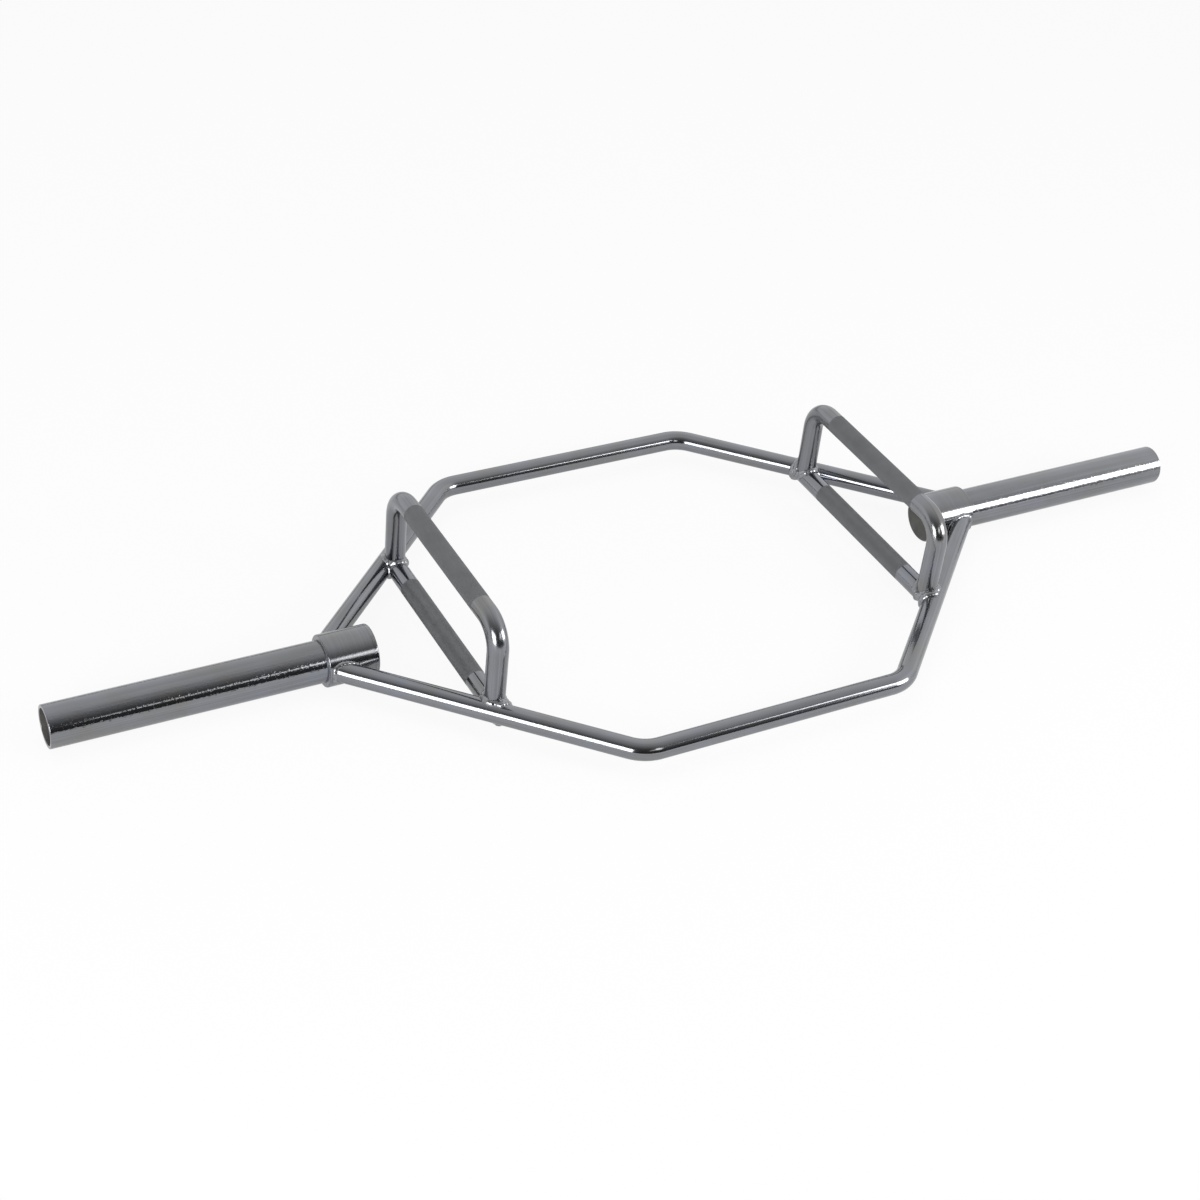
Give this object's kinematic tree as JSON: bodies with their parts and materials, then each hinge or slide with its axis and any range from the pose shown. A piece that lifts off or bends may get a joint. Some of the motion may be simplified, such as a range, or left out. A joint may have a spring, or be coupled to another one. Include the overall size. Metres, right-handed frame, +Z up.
{
  "type": "hex trap bar",
  "caption": "Hexagonal welded steel lifting bar with low and raised knurled handles, and an open tubular sleeve on each side for weight plates.",
  "frame": {"origin": "on the floor below the centre of the hexagon, with both collars resting on the floor", "axes": "+X along the sleeves to the right end, +Y to the rear side of the hexagon, +Z up"},
  "size_m": [1.524, 0.577, 0.1505],
  "materials": {
    "plated_bar": "bright plated, knurled on the grips",
    "plated_sleeve": "bright plated",
    "bare_plate": "satin grey",
    "plated_weld": "plated weld bead"
  },
  "bodies": {
    "root": {"front_frame_bar": "plated_bar", "rear_frame_bar": "plated_bar", "left_sleeve": "plated_sleeve", "left_collar": "plated_sleeve", "left_end_plate": "bare_plate", "left_low_handle": "plated_bar", "left_high_handle": "plated_bar", "right_sleeve": "plated_sleeve", "right_collar": "plated_sleeve", "right_end_plate": "bare_plate", "right_low_handle": "plated_bar", "right_high_handle": "plated_bar", "left_front_collar_weld": "plated_weld", "left_front_post_weld": "plated_weld", "left_front_handle_weld": "plated_weld", "left_rear_collar_weld": "plated_weld", "left_rear_post_weld": "plated_weld", "left_rear_handle_weld": "plated_weld", "right_front_collar_weld": "plated_weld", "right_front_post_weld": "plated_weld", "right_front_handle_weld": "plated_weld", "right_rear_collar_weld": "plated_weld", "right_rear_post_weld": "plated_weld", "right_rear_handle_weld": "plated_weld"}
  },
  "joints": []
}
